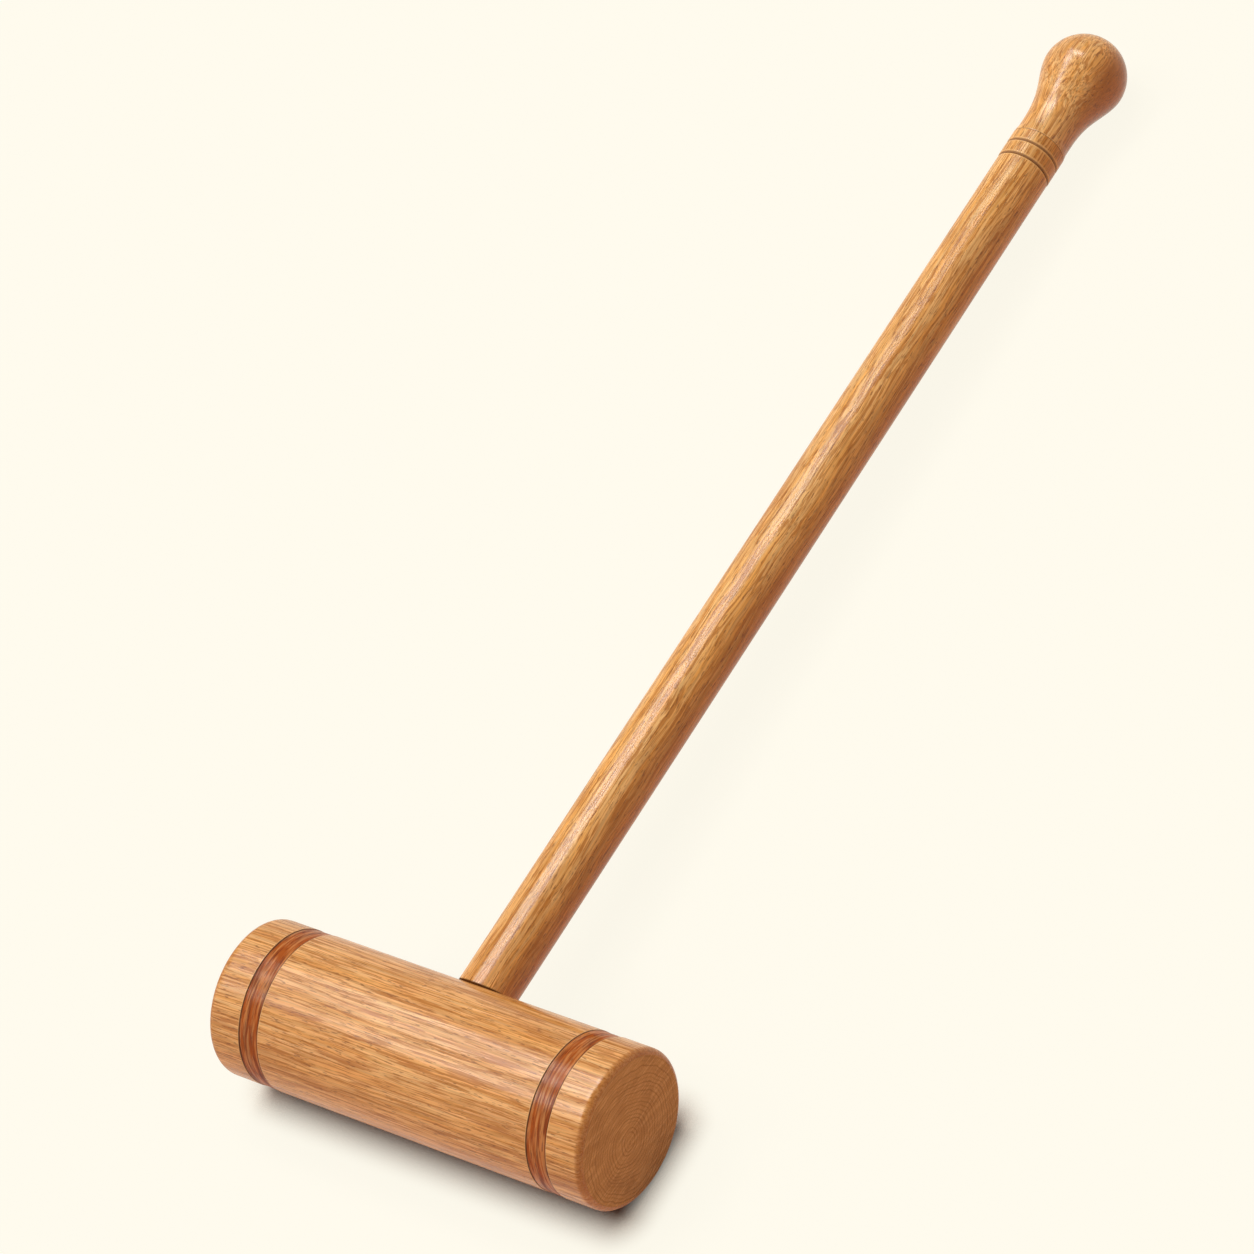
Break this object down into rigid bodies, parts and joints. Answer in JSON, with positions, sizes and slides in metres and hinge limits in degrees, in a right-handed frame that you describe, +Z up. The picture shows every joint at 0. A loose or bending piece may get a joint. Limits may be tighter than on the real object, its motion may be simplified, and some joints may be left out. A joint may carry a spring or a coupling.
{
  "type": "lawn mallet",
  "caption": "Lawn game mallet with a round banded oak head, a long straight oak handle wedged into it, and a pear-shaped knob above two turned collars.",
  "frame": {"origin": "on the ground, under the middle of the whole mallet as it lies at rest", "axes": "+Z up from the ground, +X along the head's axis, +Y along the ground from the head to the knob; the handle falls 1.5 degrees towards +Y, so that the mallet lies on the side of its head and on its knob"},
  "size_m": [0.198, 0.6236, 0.07],
  "materials": {
    "head_oak": "satin lacquered oak",
    "handle_oak": "satin lacquered oak, a little darker",
    "walnut": "satin lacquered walnut",
    "beech": "plain sawn beech"
  },
  "bodies": {
    "root": {"head_barrel": "head_oak", "left_band": "walnut", "right_band": "walnut", "left_end_block": "head_oak", "right_end_block": "head_oak", "handle_shaft": "handle_oak", "fox_wedge": "beech", "lower_collar": "handle_oak", "upper_collar": "handle_oak", "grip_knob": "handle_oak", "knob_dowel": "beech"}
  },
  "joints": []
}
